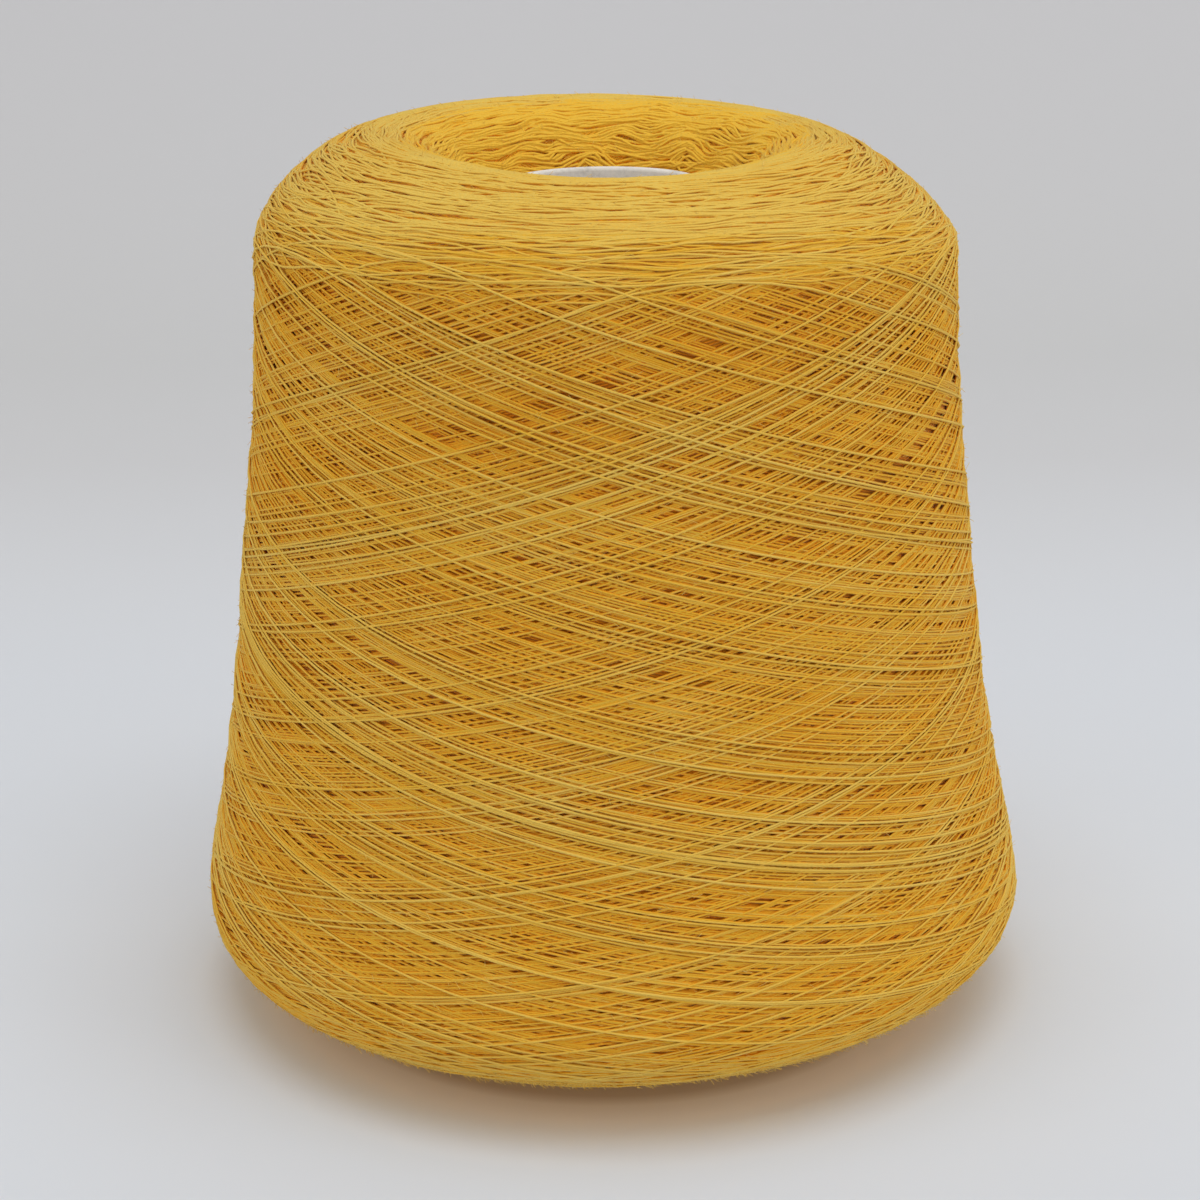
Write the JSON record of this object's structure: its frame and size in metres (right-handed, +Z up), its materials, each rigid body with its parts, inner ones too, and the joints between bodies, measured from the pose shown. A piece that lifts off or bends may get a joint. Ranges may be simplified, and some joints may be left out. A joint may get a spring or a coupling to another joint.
{
  "type": "cone of yarn",
  "caption": "Cross-wound cone of fine yarn with a domed nose end, a soft crater and a flared base, on an open tapered paper core it stands on.",
  "frame": {"origin": "centre of the core's base ring, on the surface the cone stands on", "axes": "+Z up along the winding's axis from the flared base to the nose; the side seen in the picture faces -Y, with +X to its right"},
  "size_m": [0.172, 0.172, 0.1814],
  "materials": {
    "yarn": "matte mustard-yellow spun yarn, slightly fuzzy",
    "paper": "matte grey wound paper board"
  },
  "bodies": {
    "root": {"yarn": "yarn", "core": "paper"}
  },
  "joints": []
}
